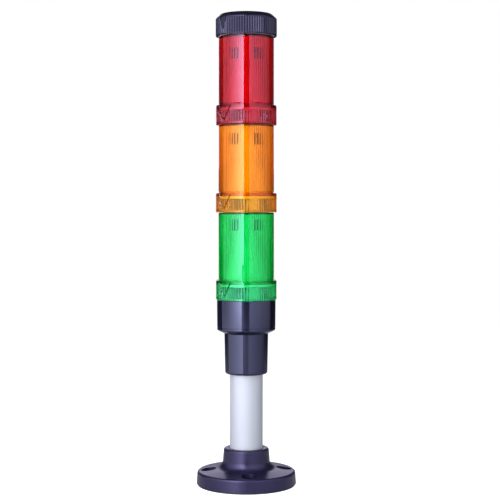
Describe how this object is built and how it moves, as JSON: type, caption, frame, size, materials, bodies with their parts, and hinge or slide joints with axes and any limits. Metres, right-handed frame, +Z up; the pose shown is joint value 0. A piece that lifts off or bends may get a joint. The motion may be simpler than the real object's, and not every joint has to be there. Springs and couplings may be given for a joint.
{
  "type": "signal tower",
  "caption": "Pole-mounted machine signal tower: stacked coloured light modules under a ribbed cap, on a tube with a round screw-down foot.",
  "frame": {"origin": "centre of the foot gasket's underside", "axes": "+Z up along the tower, -Y towards the front, +X to the right of the front"},
  "size_m": [0.0754, 0.0754, 0.3546],
  "materials": {
    "black_plastic": "satin moulded",
    "foot_plastic": "fine grained",
    "cap_plastic": "satin moulded",
    "inner_plastic": "satin moulded",
    "grey_plastic": "satin moulded",
    "white_plastic": "satin moulded",
    "terminal_plastic": "satin moulded",
    "aluminium": "satin anodised",
    "steel": "zinc plated",
    "brass": "bright",
    "rubber": "matt",
    "board": "green solder mask",
    "diffuser": "milky translucent",
    "component": "matt",
    "led": "clear resin",
    "red_lens": "clear tinted",
    "amber_lens": "clear tinted",
    "green_lens": "clear tinted"
  },
  "bodies": {
    "base": {"foot_gasket": "rubber", "foot": "foot_plastic", "foot_set_screw": "steel", "tube": "aluminium", "tube_seal": "rubber", "base_housing": "black_plastic", "base_set_screw": "steel", "base_circuit_board": "board", "terminal_block": "terminal_plastic", "terminal_clamps": "brass", "terminal_screws": "steel", "base_bus_strips": "brass", "base_spigot": "inner_plastic", "base_seal": "rubber"},
    "green_twist_ring": {"green_bayonet_ring": "grey_plastic"},
    "green_module": {"green_lens": "green_lens", "green_diffuser": "diffuser", "green_contact_carrier": "white_plastic", "green_spring_contacts": "brass", "green_circuit_board": "board", "green_leds": "led", "green_board_components": "component", "green_bus_strips": "brass", "green_spigot": "inner_plastic", "green_seal": "rubber"},
    "amber_twist_ring": {"amber_bayonet_ring": "grey_plastic"},
    "amber_module": {"amber_lens": "amber_lens", "amber_diffuser": "diffuser", "amber_contact_carrier": "white_plastic", "amber_spring_contacts": "brass", "amber_circuit_board": "board", "amber_leds": "led", "amber_board_components": "component", "amber_bus_strips": "brass", "amber_spigot": "inner_plastic", "amber_seal": "rubber"},
    "red_twist_ring": {"red_bayonet_ring": "grey_plastic"},
    "red_module": {"red_lens": "red_lens", "red_diffuser": "diffuser", "red_contact_carrier": "white_plastic", "red_spring_contacts": "brass", "red_circuit_board": "board", "red_leds": "led", "red_board_components": "component", "red_bus_strips": "brass", "red_spigot": "inner_plastic", "red_seal": "rubber"},
    "cap_twist_ring": {"cap_bayonet_ring": "grey_plastic"},
    "cap_cover": {"cap": "cap_plastic"}
  },
  "joints": [
    {"name": "green_twist", "type": "hinge", "parent": "base", "child": "green_twist_ring", "pos_m": [0, 0, 0.1406], "axis": [0, 0, 1], "range_deg": [0, 30]},
    {"name": "green_lift", "type": "slide", "parent": "green_twist_ring", "child": "green_module", "axis": [0, 0, 1], "range_m": [0, 0.025]},
    {"name": "amber_twist", "type": "hinge", "parent": "green_module", "child": "amber_twist_ring", "pos_m": [0, 0, 0.20625], "axis": [0, 0, 1], "range_deg": [0, 30]},
    {"name": "amber_lift", "type": "slide", "parent": "amber_twist_ring", "child": "amber_module", "axis": [0, 0, 1], "range_m": [0, 0.025]},
    {"name": "red_twist", "type": "hinge", "parent": "amber_module", "child": "red_twist_ring", "pos_m": [0, 0, 0.2719], "axis": [0, 0, 1], "range_deg": [0, 30]},
    {"name": "red_lift", "type": "slide", "parent": "red_twist_ring", "child": "red_module", "axis": [0, 0, 1], "range_m": [0, 0.025]},
    {"name": "cap_twist", "type": "hinge", "parent": "red_module", "child": "cap_twist_ring", "pos_m": [0, 0, 0.33755], "axis": [0, 0, 1], "range_deg": [0, 30]},
    {"name": "cap_lift", "type": "slide", "parent": "cap_twist_ring", "child": "cap_cover", "axis": [0, 0, 1], "range_m": [0, 0.025]}
  ]
}
